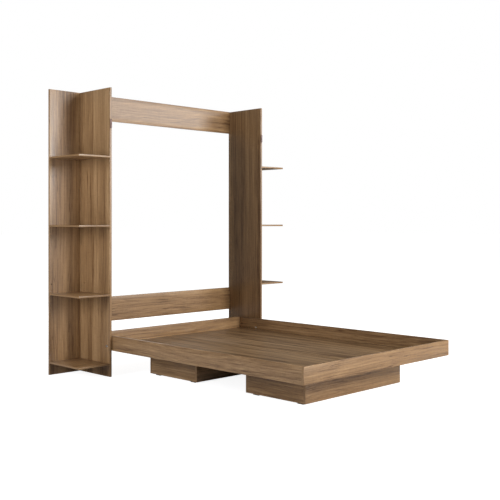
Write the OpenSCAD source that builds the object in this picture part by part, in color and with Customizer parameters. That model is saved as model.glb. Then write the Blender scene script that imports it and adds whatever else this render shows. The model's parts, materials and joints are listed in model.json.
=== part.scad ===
// Murphy wall bed: two open shelf towers joined by two wall rails, with a bed tray
// that folds up between them on two pivot bolts and is held by two turn buttons.
// Lengths are millimetres. +Z is up, +Y points at the wall and the bed opens towards -Y.
// The origin is on the floor, under the centre of the opened bed.

/* [Bed tray] */
// Clear width of the tray, for the mattress
bed_in_w = 1400; // [1100:10:1800]
// Clear length of the tray, for the mattress
bed_in_l = 1908; // [1560:4:2400]
// Height of the tray's rails
bed_rail_h = 100; // [80:1:160]
// Thickness of the tray's rails
bed_rail_t = 15; // [12:0.5:22]
// Thickness of the platform boards
platform_t = 15; // [12:0.5:22]
// Gap on each side between the tray and a tower
side_gap = 5; // [4:0.5:12]

/* [Towers] */
// Height of the towers
tower_h = 1946; // [1600:1:2400]
// Depth of a tower, from the wall to its front edge
tower_d = 368; // [300:1:460]
// Width of a tower's shelves and of its back panel
shelf_w = 245; // [180:1:320]
// Thickness of the side panels, back panels and wall rails
panel_t = 15; // [12:0.5:22]
// Thickness of the shelves
shelf_t = 12; // [10:0.5:18]
// Height of the lowest shelf's underside
first_shelf_z = 78; // [40:1:150]
// Distance from one shelf to the next
shelf_pitch = 465; // [300:1:490]

/* [Wall rails] */
// Height of each wall rail
wall_rail_h = 177; // [140:1:220]
// Height of the lower wall rail's bottom edge
lower_rail_z = 326; // [300:1:420]
// Distance between the wall fixing holes, along the rail
wall_hole_dx = 1200; // [600:10:1300]
// Distance between the wall fixing holes, up the rail
wall_hole_dz = 100; // [60:5:110]
// Radius of the wall fixing holes
wall_hole_r = 3; // [2:0.25:4]

/* [Plinths] */
// Width of a plinth, across the bed
plinth_w = 930; // [700:1:1050]
// Length of a plinth, along the bed
plinth_l = 480; // [380:1:580]
// Height of the plinth's boards
plinth_h = 170; // [130:1:220]
// Thickness of the plinth's boards
plinth_t = 15; // [12:0.5:22]
// Distance from the wall to the head plinth
head_plinth_d = 461; // [440:1:540]
// Distance from the foot end of the tray back to the foot plinth
foot_plinth_in = 206; // [100:1:300]
// Height of the glides under the plinths
glide_h = 4; // [3:0.5:8]
// Length of a glide
glide_l = 50; // [20:1:60]
// Distance from a plinth's head end to its first glides
glide_in = 60; // [20:1:100]

/* [Pivots] */
// Distance from the tower's front edge back to the pivot
pivot_in = 33; // [25:1:60]
// Distance from the tray's bottom edge up to the pivot
pivot_up = 30; // [26:1:50]
// Least gap between the floor and the head end as the bed folds
head_floor_gap = 3; // [2:0.5:15]
// Radius of the pivot bolt's shoulder
bolt_r = 5; // [4:0.5:6]
// Radius of the pivot bolt's head
bolt_head_r = 10; // [7.5:0.5:11]
// Height of the pivot bolt's head
bolt_head_h = 5; // [4:0.5:8]
// Wall of the bush that turns on the bolt
bush_wall = 2; // [1.5:0.5:3]

/* [Latches] */
// Height of the turn buttons' pivots
latch_z = 1703; // [1400:1:1740]
// Length of a turn button
button_l = 62; // [56:1:80]
// Width of a turn button
button_w = 14; // [12:0.5:15]
// Thickness of a turn button
button_t = 3; // [2:0.5:4]
// Length of a strike plate
strike_l = 56; // [50:1:70]
// Thickness of a strike plate
strike_t = 2; // [1.5:0.5:2.5]

/* [Hidden] */
$fn = 48;
// Clearance between a turning part and the pin it turns on
run_gap = 0.05;
// Clearance between a fixed pin or dowel and its hole
fit_gap = 0.1;
// Clearance between flat faces that slide past each other
slide_gap = 0.2;
// Free depth past the end of a dowel
relief = 1;
// Overlap that lets a cut pass clean through a face
cut = 1;

shelf_count = 4;
sides = [-1, 1];

// Wooden dowels
dowel_r = 4;
dowel_l = 30;
dowel_in = 9;
shelf_dowel_r = 3;
shelf_dowel_l = 24;
shelf_dowel_end = 60;
// Cam locks: the cam's centre is cam_set from the edge it pulls up to
cam_set = 24;
cam_r = 7.5;
cam_h = 12;
shelf_cam_r = 6;
shelf_cam_h = 9;
cam_bolt_r = 2;
cam_bolt_end_r = 3;
cam_bolt_end_l = 3;
cam_cross_w = 1.5;
cam_cross_l = 8;
cam_cross_h = 2;
// Screws that join a back panel to its side panel
tower_screw_r = 3;
tower_screw_l = 50;
tower_screw_head_r = 5;
tower_screw_head_h = 3;
tower_screw_count = 4;
// Dowel rows along the platform and up the rails
platform_dowel_count = 5;
rail_dowel_in = 25;
wall_rail_dowel_in = 30;
plinth_dowel_in = 40;
// Spare drilled holes above the second shelf
spare_hole_r = 4;
spare_hole_deep = 10;
spare_hole_up = 62;
spare_hole_in = 14;
spare_hole_d = 66;
// Angle brackets that hold the plinths to the platform
bracket_leg = 25;
bracket_t = 2;
bracket_w = 20;
bracket_hole_in = 16;
bracket_end = 90;
bracket_screw_r = 1.75;
bracket_screw_l = 11;
bracket_head_r = 3.5;
bracket_head_h = 2;
// Pivot bolt, bush, washer and nut
bolt_hex = 6;
bolt_hex_deep = 3;
bolt_thread_r = 4;
bolt_thread_l = 7;
bush_flange_r = 10;
bush_flange_t = 1.5;
nut_r = 7;
nut_body_h = 5;
nut_dome_h = 4;
nut_gap = 0.4;
washer_r = 11;
// Turn button, its screw and its strike plate
latch_screw_r = 2.5;
latch_screw_in = 25;
latch_head_r = 5.5;
latch_head_h = 3;
latch_washer_t = 0.9;
latch_washer_r = 6;
latch_slot_w = 1.2;
latch_slot_h = 1;
knob_r = 4;
knob_h = 4;
knob_end = 8;
strike_w = 13;
strike_hole_in = 8;
strike_screw_r = 2;
strike_screw_l = 14;
strike_head_r = 4;
strike_head_h = 1.5;

// Heights
bed_z = glide_h + plinth_h;
bed_top = bed_z + bed_rail_h;
pivot_z = bed_z + pivot_up;
upper_rail_z = tower_h - wall_rail_h;
// Distances from the wall plane
pivot_d = tower_d - pivot_in;
head_reach = floor(sqrt(pow(pivot_z - head_floor_gap, 2) - pow(pivot_up, 2)));
head_d = pivot_d - head_reach;
head_in_d = head_d + bed_rail_t;
foot_in_d = head_in_d + bed_in_l;
foot_d = foot_in_d + bed_rail_t;
foot_plinth_d = foot_d - foot_plinth_in - plinth_l;
strike_d = pivot_d + latch_z - pivot_z;
wall_y = foot_d / 2;
// Distances from the middle plane, for the right half
bed_in_x = bed_in_w / 2;
bed_x = bed_in_x + bed_rail_t;
side_x = bed_x + side_gap;
tower_x = side_x + panel_t;
outer_x = tower_x + shelf_w;
panel_mid_x = side_x + panel_t / 2;
rail_mid_x = bed_in_x + bed_rail_t / 2;
plinth_x = plinth_w / 2;
plinth_in_x = plinth_x - plinth_t;

function shelf_z(i) = first_shelf_z + i * shelf_pitch;
function shelf_mid_z(i) = shelf_z(i) + shelf_t / 2;
function tower_screw_z(i) = (i + 0.5) * tower_h / tower_screw_count;
function platform_dowel_d(i) = head_in_d + (i + 0.5) * bed_in_l / platform_dowel_count;

wood = "#8d6c4b";
wood_dark = "#5d4631";
steel = "#b9bcc0";
dark_steel = "#4a464a";
beech = "#c9a878";
plastic = "#2b2624";

// ---------------------------------------------------------------- placing

// A board from its ranges across the bed, out from the wall and up
module board(x, d, z) {
    translate([x[0], wall_y - d[1], z[0]])
        cube([x[1] - x[0], d[1] - d[0], z[1] - z[0]]);
}

// Puts a piece at a point given by its distance from the wall
module at(x, d, z) {
    translate([x, wall_y - d, z]) children();
}

// A rod from a point, pointing to +X, out from the wall, or up
module rod_x(x, d, z, r, l) {
    at(x, d, z) rotate([0, 90, 0]) cylinder(r = r, h = l);
}

module rod_d(x, d, z, r, l) {
    at(x, d, z) rotate([90, 0, 0]) cylinder(r = r, h = l);
}

module rod_z(x, d, z, r, l) {
    at(x, d, z) cylinder(r = r, h = l);
}

// Draws a right-hand piece on the side given by -1 or 1
module on_side(side) {
    if (side < 0) mirror([1, 0, 0]) children();
    else children();
}

// ---------------------------------------------------------------- fasteners
// Each set is drawn as it is, or larger by gap and extra as the holes that it needs

// Dowels of one right-hand shelf, into the side panel and into the back panel
module shelf_dowel_set(i, gap = 0, extra = 0) {
    r = shelf_dowel_r + gap;
    l = shelf_dowel_l + extra;
    for (d = [panel_t + shelf_dowel_end, tower_d - shelf_dowel_end])
        rod_x(tower_x - dowel_in, d, shelf_mid_z(i), r, l);
    for (x = [tower_x + shelf_dowel_end, outer_x - shelf_dowel_end])
        rod_d(x, panel_t - dowel_in, shelf_mid_z(i), r, l);
}

// A cam bolt along +Z from its threaded end, with the plane of the joint at z = 0
module cam_bolt(gap = 0) {
    translate([0, 0, -dowel_in])
        cylinder(r = cam_bolt_end_r + gap, h = dowel_in);
    cylinder(r = (gap > 0 ? cam_bolt_end_r : cam_bolt_r) + gap, h = cam_set);
    translate([0, 0, cam_set - cam_bolt_end_l / 2])
        cylinder(r = cam_bolt_end_r + gap, h = cam_bolt_end_l);
}

// A cam along +Z from its visible face, slotted for a bolt that comes from -X
module cam(r, h, bolt_z) {
    difference() {
        cylinder(r = r, h = h);
        translate([-r - cut, 0, bolt_z]) rotate([0, 90, 0])
            cylinder(r = cam_bolt_end_r + fit_gap, h = r + cut + cam_bolt_end_l);
        for (a = [0, 90])
            rotate([0, 0, a + 45])
                translate([-cam_cross_l / 2, -cam_cross_w / 2, -cut])
                    cube([cam_cross_l, cam_cross_w, cam_cross_h + cut]);
    }
}

// Cam bolts of one right-hand shelf
module shelf_bolt_set(i, gap = 0) {
    at(tower_x, (panel_t + tower_d) / 2, shelf_mid_z(i)) rotate([0, 90, 0]) cam_bolt(gap);
    at(tower_x + shelf_w / 2, panel_t, shelf_mid_z(i)) rotate([90, 0, 0]) cam_bolt(gap);
}

// Places a cam at each cam position of one right-hand shelf
module at_shelf_cams(i) {
    at(tower_x + cam_set, (panel_t + tower_d) / 2, shelf_z(i)) children();
    at(tower_x + shelf_w / 2, panel_t + cam_set, shelf_z(i)) rotate([0, 0, -90]) children();
}

// Dowels of a wall rail's right-hand end, for the rail whose bottom edge is at z
module wall_rail_dowel_set(z, gap = 0, extra = 0) {
    for (up = [wall_rail_dowel_in, wall_rail_h - wall_rail_dowel_in])
        rod_x(side_x + dowel_in - dowel_l - extra, panel_t / 2, z + up,
              dowel_r + gap, dowel_l + extra);
}

module at_wall_rail_bolt(z) {
    at(side_x, panel_t / 2, z + wall_rail_h / 2) rotate([0, -90, 0]) children();
}

module at_wall_rail_cam(z) {
    at(side_x - cam_set, 0, z + wall_rail_h / 2) rotate([90, 0, 0])
        rotate([0, 0, 180]) children();
}

// Screws from the right side panel's inner face into the back panel's edge
module tower_screw_set(gap = 0) {
    for (i = [0:tower_screw_count - 1]) {
        rod_x(side_x, panel_t / 2, tower_screw_z(i), tower_screw_r + gap, tower_screw_l);
        rod_x(side_x, panel_t / 2, tower_screw_z(i), tower_screw_head_r + gap,
              tower_screw_head_h);
    }
}

// Puts a set that runs towards the foot end on one right-hand corner of the tray
module at_tray_corner(foot) {
    at(rail_mid_x, foot ? foot_in_d : head_in_d, bed_z)
        rotate([0, 0, foot ? 0 : 180]) children();
}

// Dowels of a tray corner, along -Y into the end rail
module corner_dowel_set(gap = 0, extra = 0) {
    for (up = [rail_dowel_in, bed_rail_h - rail_dowel_in])
        translate([0, dowel_l - dowel_in + extra, up]) rotate([90, 0, 0])
            cylinder(r = dowel_r + gap, h = dowel_l + extra);
}

module corner_bolt(gap = 0) {
    translate([0, 0, bed_rail_h / 2]) rotate([-90, 0, 0]) cam_bolt(gap);
}

// Puts a cam in the inner face of the right bed rail, at its head or foot end
module at_corner_cam(foot) {
    d = foot ? foot_in_d - cam_set : head_in_d + cam_set;
    at(bed_in_x, d, bed_z + bed_rail_h / 2)
        rotate([foot ? 0 : 180, 0, 0]) rotate([0, 90, 0]) rotate([0, 0, 90]) children();
}

// Dowels from a bed rail into the platform's edge, right-hand side
module platform_edge_dowels(gap = 0, extra = 0) {
    for (i = [0:platform_dowel_count - 1])
        rod_x(bed_in_x + dowel_in - dowel_l - extra, platform_dowel_d(i),
              bed_z + platform_t / 2, dowel_r + gap, dowel_l + extra);
}

// Dowels across the seam between the platform boards
module platform_seam_dowels(gap = 0, extra = 0) {
    for (i = [0:platform_dowel_count - 1])
        rod_x(-dowel_l / 2 - extra, platform_dowel_d(i), bed_z + platform_t / 2,
              dowel_r + gap, dowel_l + 2 * extra);
}

// Dowels at both ends of a plinth's lengthwise boards
module plinth_dowel_set(d, gap = 0, extra = 0) {
    near = d + plinth_t;
    far = d + plinth_l - plinth_t;
    for (x = [-plinth_x + plinth_t / 2, 0, plinth_x - plinth_t / 2])
        for (up = [plinth_dowel_in, plinth_h - plinth_dowel_in]) {
            rod_d(x, near - dowel_in, glide_h + up, dowel_r + gap, dowel_l + extra);
            rod_d(x, far + dowel_in - dowel_l - extra, glide_h + up,
                  dowel_r + gap, dowel_l + extra);
        }
}

// Places a piece at both right-hand brackets of the plinth that starts at d
module at_brackets(d) {
    for (along = [bracket_end, plinth_l - bracket_end])
        at(plinth_in_x, d + along, bed_z) children();
}

// One angle bracket, its corner at the origin, one leg down and one towards -X
module bracket() {
    difference() {
        translate([0, bracket_w / 2, 0]) rotate([90, 0, 0])
            linear_extrude(bracket_w)
                polygon([[0, 0], [0, -bracket_leg], [-bracket_t, -bracket_leg],
                         [-bracket_t, -bracket_t], [-bracket_leg, -bracket_t],
                         [-bracket_leg, 0]]);
        bracket_screw_pair(fit_gap);
    }
}

// The two screws of a bracket, one up into the platform and one into the board
module bracket_screw_pair(gap = 0) {
    for (turn = [0, 1])
        mirror([turn, 0, -turn])
            translate([-bracket_hole_in, 0, -bracket_t]) {
                cylinder(r = bracket_screw_r + gap, h = bracket_t + bracket_screw_l);
                translate([0, 0, -bracket_head_h])
                    cylinder(r = bracket_head_r, h = bracket_head_h);
            }
}

module strike_screw_set(gap = 0) {
    for (side = [-1, 1]) {
        d = strike_d + side * (strike_l / 2 - strike_hole_in);
        rod_z(rail_mid_x, d, bed_z - strike_t, strike_screw_r + gap, strike_screw_l);
        rod_z(rail_mid_x, d, bed_z - strike_t - strike_head_h, strike_head_r,
              strike_head_h);
    }
}

// ---------------------------------------------------------------- towers

module side_panel(side) {
    color(wood) on_side(side) difference() {
        board([side_x, tower_x], [0, tower_d], [0, tower_h]);
        for (i = [0:shelf_count - 1]) {
            shelf_dowel_set(i, fit_gap);
            shelf_bolt_set(i, fit_gap);
        }
        for (z = [lower_rail_z, upper_rail_z]) {
            wall_rail_dowel_set(z, fit_gap);
            at_wall_rail_bolt(z) cam_bolt(fit_gap);
        }
        tower_screw_set(fit_gap);
        rod_x(side_x - cut, pivot_d, pivot_z, bolt_r + fit_gap, panel_t + 2 * cut);
        rod_d(panel_mid_x, tower_d - latch_screw_in, latch_z, latch_screw_r + fit_gap,
              latch_screw_in + cut);
        rod_x(tower_x - spare_hole_deep, spare_hole_d, shelf_z(1) + spare_hole_up + shelf_t,
              spare_hole_r, spare_hole_deep + cut);
    }
}

module back_panel(side) {
    color(wood) on_side(side) difference() {
        board([tower_x, outer_x], [0, panel_t], [0, tower_h]);
        for (i = [0:shelf_count - 1]) {
            shelf_dowel_set(i, fit_gap);
            shelf_bolt_set(i, fit_gap);
        }
        tower_screw_set(fit_gap);
        rod_d(outer_x - spare_hole_in, panel_t - spare_hole_deep,
              shelf_z(1) + spare_hole_up + shelf_t, spare_hole_r, spare_hole_deep + cut);
    }
}

module shelf(side, i) {
    color(wood) on_side(side) difference() {
        board([tower_x, outer_x], [panel_t, tower_d], [shelf_z(i), shelf_z(i) + shelf_t]);
        shelf_dowel_set(i, fit_gap, relief);
        shelf_bolt_set(i, fit_gap);
        at_shelf_cams(i) translate([0, 0, -cut])
            cylinder(r = shelf_cam_r + fit_gap, h = shelf_cam_h + cut);
    }
}

module wall_rail(z) {
    color(wood) difference() {
        board([-side_x, side_x], [0, panel_t], [z, z + wall_rail_h]);
        for (side = sides) on_side(side) {
            wall_rail_dowel_set(z, fit_gap, relief);
            at_wall_rail_bolt(z) cam_bolt(fit_gap);
            at_wall_rail_cam(z) translate([0, 0, -cut])
                cylinder(r = cam_r + fit_gap, h = cam_h + cut);
            for (up = [-1, 1])
                rod_d(wall_hole_dx / 2, -cut, z + wall_rail_h / 2 + up * wall_hole_dz / 2,
                      wall_hole_r, panel_t + 2 * cut);
        }
    }
}

module shelf_dowels() {
    color(beech) for (side = sides, i = [0:shelf_count - 1]) on_side(side) shelf_dowel_set(i);
}

module shelf_cams() {
    color(steel) for (side = sides, i = [0:shelf_count - 1])
        on_side(side) at_shelf_cams(i) cam(shelf_cam_r, shelf_cam_h, shelf_t / 2);
}

module shelf_cam_bolts() {
    color(steel) for (side = sides, i = [0:shelf_count - 1]) on_side(side) shelf_bolt_set(i);
}

module wall_rail_dowels() {
    color(beech) for (side = sides, z = [lower_rail_z, upper_rail_z])
        on_side(side) wall_rail_dowel_set(z);
}

module wall_rail_cams() {
    color(steel) for (side = sides, z = [lower_rail_z, upper_rail_z])
        on_side(side) at_wall_rail_cam(z) cam(cam_r, cam_h, panel_t / 2);
}

module wall_rail_cam_bolts() {
    color(steel) for (side = sides, z = [lower_rail_z, upper_rail_z])
        on_side(side) at_wall_rail_bolt(z) cam_bolt();
}

module tower_screws() {
    color(steel) for (side = sides) on_side(side) tower_screw_set();
}

// ---------------------------------------------------------------- bed tray

module bed_rail(side) {
    color(wood) on_side(side) difference() {
        board([bed_in_x, bed_x], [head_in_d, foot_in_d], [bed_z, bed_top]);
        for (foot = [false, true]) {
            at_tray_corner(foot) {
                corner_dowel_set(fit_gap, relief);
                corner_bolt(fit_gap);
            }
            at_corner_cam(foot) translate([0, 0, -cut])
                cylinder(r = cam_r + fit_gap, h = cam_h + cut);
        }
        platform_edge_dowels(fit_gap);
        rod_x(bed_in_x - cut, pivot_d, pivot_z, bolt_r + bush_wall + fit_gap,
              bed_rail_t + 2 * cut);
        strike_screw_set(fit_gap);
    }
}

module end_rail(d, foot) {
    color(wood) difference() {
        board([-bed_x, bed_x], [d, d + bed_rail_t], [bed_z, bed_top]);
        for (side = sides) on_side(side) at_tray_corner(foot) {
            corner_dowel_set(fit_gap);
            corner_bolt(fit_gap);
        }
    }
}

module platform_board(side) {
    color(wood) on_side(side) difference() {
        board([0, bed_in_x], [head_in_d, foot_in_d], [bed_z, bed_z + platform_t]);
        platform_edge_dowels(fit_gap, relief);
        platform_seam_dowels(fit_gap, side < 0 ? relief : 0);
        for (d = [head_plinth_d, foot_plinth_d]) at_brackets(d) bracket_screw_pair(fit_gap);
    }
}

module bed_rail_dowels() {
    color(beech) for (side = sides, foot = [false, true])
        on_side(side) at_tray_corner(foot) corner_dowel_set();
}

module bed_rail_cams() {
    color(wood_dark) for (side = sides, foot = [false, true])
        on_side(side) at_corner_cam(foot) cam(cam_r, cam_h, bed_rail_t / 2);
}

module bed_rail_cam_bolts() {
    color(steel) for (side = sides, foot = [false, true])
        on_side(side) at_tray_corner(foot) corner_bolt();
}

module platform_dowels() {
    color(beech) {
        for (side = sides) on_side(side) platform_edge_dowels();
        platform_seam_dowels();
    }
}

// ---------------------------------------------------------------- plinths

// The board across a plinth that starts at d, on its wall side or its foot side
module plinth_cross(d, front) {
    start = front ? d + plinth_l - plinth_t : d;
    color(wood) difference() {
        board([-plinth_x, plinth_x], [start, start + plinth_t], [glide_h, bed_z]);
        plinth_dowel_set(d, fit_gap);
    }
}

// The board along a plinth that starts at d
module plinth_long(d, side) {
    color(wood) on_side(side) difference() {
        board([plinth_in_x, plinth_x], [d + plinth_t, d + plinth_l - plinth_t],
              [glide_h, bed_z]);
        plinth_dowel_set(d, fit_gap, relief);
        at_brackets(d) bracket_screw_pair(fit_gap);
    }
}

module plinth_rib(d) {
    color(wood) difference() {
        board([-plinth_t / 2, plinth_t / 2], [d + plinth_t, d + plinth_l - plinth_t],
              [glide_h, bed_z]);
        plinth_dowel_set(d, fit_gap, relief);
    }
}

module plinth_dowels() {
    color(beech) for (d = [head_plinth_d, foot_plinth_d]) plinth_dowel_set(d);
}

module plinth_brackets() {
    color(steel) for (side = sides, d = [head_plinth_d, foot_plinth_d])
        on_side(side) at_brackets(d) bracket();
}

module bracket_screws() {
    color(steel) for (side = sides, d = [head_plinth_d, foot_plinth_d])
        on_side(side) at_brackets(d) bracket_screw_pair();
}

module plinth_glides() {
    color(plastic) for (side = sides, d = [head_plinth_d, foot_plinth_d])
        on_side(side) for (start = [d + glide_in, d + plinth_l - plinth_t - glide_l])
            board([plinth_in_x, plinth_x], [start, start + glide_l], [0, glide_h]);
}

// ---------------------------------------------------------------- pivots

// Shoulder bolt, head on the tower's outer face, thread past the bed rail's inner face
module pivot_bolt(side) {
    shoulder_x = bed_in_x - nut_gap;
    color(steel) on_side(side) at(0, pivot_d, pivot_z) rotate([0, 90, 0]) difference() {
        union() {
            translate([0, 0, shoulder_x - bolt_thread_l])
                cylinder(r = bolt_thread_r, h = bolt_thread_l);
            translate([0, 0, shoulder_x]) cylinder(r = bolt_r, h = tower_x - shoulder_x);
            translate([0, 0, tower_x]) rotate_extrude()
                polygon([[0, 0], [bolt_head_r, 0], [bolt_head_r, bolt_head_h / 2],
                         [bolt_head_r * 0.8, bolt_head_h], [0, bolt_head_h]]);
        }
        translate([0, 0, tower_x + bolt_head_h - bolt_hex_deep])
            cylinder(r = bolt_hex / 2, h = bolt_hex_deep + cut, $fn = 6);
    }
}

// Flanged bush in the bed rail, turning on the bolt's shoulder
module pivot_bush(side) {
    r = bolt_r + bush_wall;
    color(dark_steel) on_side(side) at(0, pivot_d, pivot_z) rotate([0, 90, 0]) difference() {
        union() {
            translate([0, 0, bed_in_x]) cylinder(r = r, h = bed_rail_t);
            translate([0, 0, bed_x]) cylinder(r = bush_flange_r, h = bush_flange_t);
        }
        translate([0, 0, bed_in_x - cut])
            cylinder(r = bolt_r + run_gap, h = bed_rail_t + bush_flange_t + 2 * cut);
    }
}

module pivot_washers() {
    start = bed_x + bush_flange_t + slide_gap;
    color(steel) for (side = sides) on_side(side) difference() {
        rod_x(start, pivot_d, pivot_z, washer_r, side_x - start);
        rod_x(start - cut, pivot_d, pivot_z, bolt_r + fit_gap, side_x - start + 2 * cut);
    }
}

// Domed nut, closed towards the tray
module pivot_nuts() {
    face_x = bed_in_x - nut_gap;
    color(steel) for (side = sides) on_side(side)
        at(face_x, pivot_d, pivot_z) rotate([0, -90, 0]) difference() {
            rotate_extrude()
                polygon([[0, 0], [nut_r, 0], [nut_r, nut_body_h],
                         [nut_r * 0.75, nut_body_h + nut_dome_h * 0.7],
                         [nut_r * 0.35, nut_body_h + nut_dome_h], [0, nut_body_h + nut_dome_h]]);
            translate([0, 0, -cut]) cylinder(r = bolt_thread_r + fit_gap,
                                             h = bolt_thread_l + cut + fit_gap);
        }
}

// ---------------------------------------------------------------- latches

// Turn button on the tower's front edge, with a finger knob at its lower end
module turn_button(side) {
    back = tower_d + latch_washer_t + slide_gap;
    half = (button_l - button_w) / 2;
    color(dark_steel) on_side(side) at(panel_mid_x, back, latch_z) rotate([90, 0, 0]) {
        difference() {
            linear_extrude(button_t) union() {
                square([button_w, 2 * half], center = true);
                for (end = [-1, 1]) translate([0, end * half]) circle(r = button_w / 2);
            }
            translate([0, 0, -cut])
                cylinder(r = latch_screw_r + run_gap, h = button_t + 2 * cut);
        }
        translate([0, knob_end - button_l / 2, button_t]) cylinder(r = knob_r, h = knob_h);
    }
}

module latch_screws() {
    cap_d = tower_d + latch_washer_t + button_t + 2 * slide_gap;
    color(dark_steel) for (side = sides) on_side(side) {
        rod_d(panel_mid_x, tower_d - latch_screw_in, latch_z, latch_screw_r,
              cap_d - tower_d + latch_screw_in);
        difference() {
            at(panel_mid_x, cap_d, latch_z) rotate([90, 0, 0]) rotate_extrude()
                polygon([[0, 0], [latch_head_r, 0], [latch_head_r, latch_head_h / 3],
                         [latch_head_r * 0.7, latch_head_h * 0.8], [latch_head_r * 0.4, latch_head_h],
                         [0, latch_head_h]]);
            at(panel_mid_x, cap_d + latch_head_h, latch_z)
                cube([latch_slot_w, 2 * latch_slot_h, 3 * latch_head_r], center = true);
        }
    }
}

module latch_washers() {
    color(steel) for (side = sides) on_side(side) difference() {
        rod_d(panel_mid_x, tower_d, latch_z, latch_washer_r, latch_washer_t);
        rod_d(panel_mid_x, tower_d - cut, latch_z, latch_screw_r + fit_gap,
              latch_washer_t + 2 * cut);
    }
}

// Plate under a bed rail, where the turn button bears when the bed is folded up
module strike_plates() {
    color(dark_steel) for (side = sides) on_side(side) difference() {
        board([rail_mid_x - strike_w / 2, rail_mid_x + strike_w / 2],
              [strike_d - strike_l / 2, strike_d + strike_l / 2], [bed_z - strike_t, bed_z]);
        strike_screw_set(fit_gap);
    }
}

module strike_screws() {
    color(plastic) for (side = sides) on_side(side) strike_screw_set();
}

// ---------------------------------------------------------------- the nodes

side_panel(-1);  // left_side_panel
side_panel(1);  // right_side_panel
back_panel(-1);  // left_back_panel
back_panel(1);  // right_back_panel
shelf(-1, 0);  // left_shelf_1
shelf(-1, 1);  // left_shelf_2
shelf(-1, 2);  // left_shelf_3
shelf(-1, 3);  // left_shelf_4
shelf(1, 0);  // right_shelf_1
shelf(1, 1);  // right_shelf_2
shelf(1, 2);  // right_shelf_3
shelf(1, 3);  // right_shelf_4
wall_rail(upper_rail_z);  // upper_wall_rail
wall_rail(lower_rail_z);  // lower_wall_rail
shelf_dowels();
shelf_cams();
shelf_cam_bolts();
wall_rail_dowels();
wall_rail_cams();
wall_rail_cam_bolts();
tower_screws();
bed_rail(-1);  // left_bed_rail
bed_rail(1);  // right_bed_rail
end_rail(head_d, false);  // head_rail
end_rail(foot_in_d, true);  // foot_rail
platform_board(-1);  // left_platform_board
platform_board(1);  // right_platform_board
bed_rail_dowels();
bed_rail_cams();
bed_rail_cam_bolts();
platform_dowels();
plinth_cross(head_plinth_d, false);  // head_plinth_rear
plinth_cross(head_plinth_d, true);  // head_plinth_front
plinth_long(head_plinth_d, -1);  // head_plinth_left
plinth_long(head_plinth_d, 1);  // head_plinth_right
plinth_rib(head_plinth_d);  // head_plinth_rib
plinth_cross(foot_plinth_d, false);  // foot_plinth_rear
plinth_cross(foot_plinth_d, true);  // foot_plinth_front
plinth_long(foot_plinth_d, -1);  // foot_plinth_left
plinth_long(foot_plinth_d, 1);  // foot_plinth_right
plinth_rib(foot_plinth_d);  // foot_plinth_rib
plinth_dowels();
plinth_brackets();
bracket_screws();
plinth_glides();
pivot_bolt(-1);  // left_pivot_bolt
pivot_bolt(1);  // right_pivot_bolt
pivot_bush(-1);  // left_pivot_bush
pivot_bush(1);  // right_pivot_bush
pivot_washers();
pivot_nuts();
turn_button(-1);  // left_turn_button
turn_button(1);  // right_turn_button
latch_screws();
latch_washers();
strike_plates();
strike_screws();
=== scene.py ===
"""Murphy wall bed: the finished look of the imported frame.

All lengths are metres in the frame's own axes: +Z up, +Y towards the wall, -Y towards the
foot.
"""

import json
import logging
import math
import random
from collections.abc import Iterable
from dataclasses import dataclass, field
from enum import Enum

import bmesh
import bpy
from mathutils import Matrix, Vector

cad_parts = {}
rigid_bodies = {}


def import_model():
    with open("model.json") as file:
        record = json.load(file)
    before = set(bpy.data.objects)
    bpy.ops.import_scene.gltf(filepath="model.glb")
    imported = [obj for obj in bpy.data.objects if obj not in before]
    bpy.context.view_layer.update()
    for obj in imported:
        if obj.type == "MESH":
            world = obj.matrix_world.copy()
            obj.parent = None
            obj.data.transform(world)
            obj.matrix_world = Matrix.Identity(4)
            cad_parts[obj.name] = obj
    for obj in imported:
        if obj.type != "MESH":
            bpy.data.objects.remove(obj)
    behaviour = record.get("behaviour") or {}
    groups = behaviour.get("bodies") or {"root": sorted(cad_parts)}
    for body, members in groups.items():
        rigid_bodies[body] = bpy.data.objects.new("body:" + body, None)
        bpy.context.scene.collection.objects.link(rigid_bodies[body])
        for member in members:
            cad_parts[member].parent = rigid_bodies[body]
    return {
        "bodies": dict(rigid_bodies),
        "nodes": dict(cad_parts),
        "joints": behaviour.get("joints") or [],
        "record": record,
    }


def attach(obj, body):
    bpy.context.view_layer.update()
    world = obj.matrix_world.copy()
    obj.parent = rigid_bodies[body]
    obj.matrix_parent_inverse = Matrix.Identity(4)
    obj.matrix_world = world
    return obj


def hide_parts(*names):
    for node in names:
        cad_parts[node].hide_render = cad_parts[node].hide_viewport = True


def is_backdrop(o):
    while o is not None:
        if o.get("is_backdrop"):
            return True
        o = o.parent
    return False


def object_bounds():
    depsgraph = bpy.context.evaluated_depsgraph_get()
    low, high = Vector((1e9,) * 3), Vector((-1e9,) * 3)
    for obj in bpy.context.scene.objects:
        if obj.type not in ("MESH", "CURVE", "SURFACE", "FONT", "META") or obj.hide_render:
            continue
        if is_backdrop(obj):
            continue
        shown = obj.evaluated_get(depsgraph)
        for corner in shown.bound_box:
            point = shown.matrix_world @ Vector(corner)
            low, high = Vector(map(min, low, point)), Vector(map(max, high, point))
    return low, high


LOG = logging.getLogger("murphy_bed")
# Points closer than this are one point, in metres.
MERGE = 1e-5
# Triangles that turn less than this from each other are one flat face, in degrees.
FLAT_DEG = 0.5
# Mesh attribute that moves the wood pattern on a board.
GRAIN_SHIFT = "grain_shift"
# Mesh attribute that holds the direction of each repeated piece.
AIM = "aim"


class Axis(Enum):
    """A direction of the frame."""

    X = 0
    Y = 1
    Z = 2

    @property
    def vector(self) -> Vector:
        """The unit vector along this axis."""
        return Vector([1.0 if i == self.value else 0.0 for i in range(3)])


class Body(Enum):
    """The frame's moving bodies."""

    TOWERS = "towers"
    BED = "bed"
    LEFT_BUTTON = "left_turn_button"
    RIGHT_BUTTON = "right_turn_button"


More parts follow.
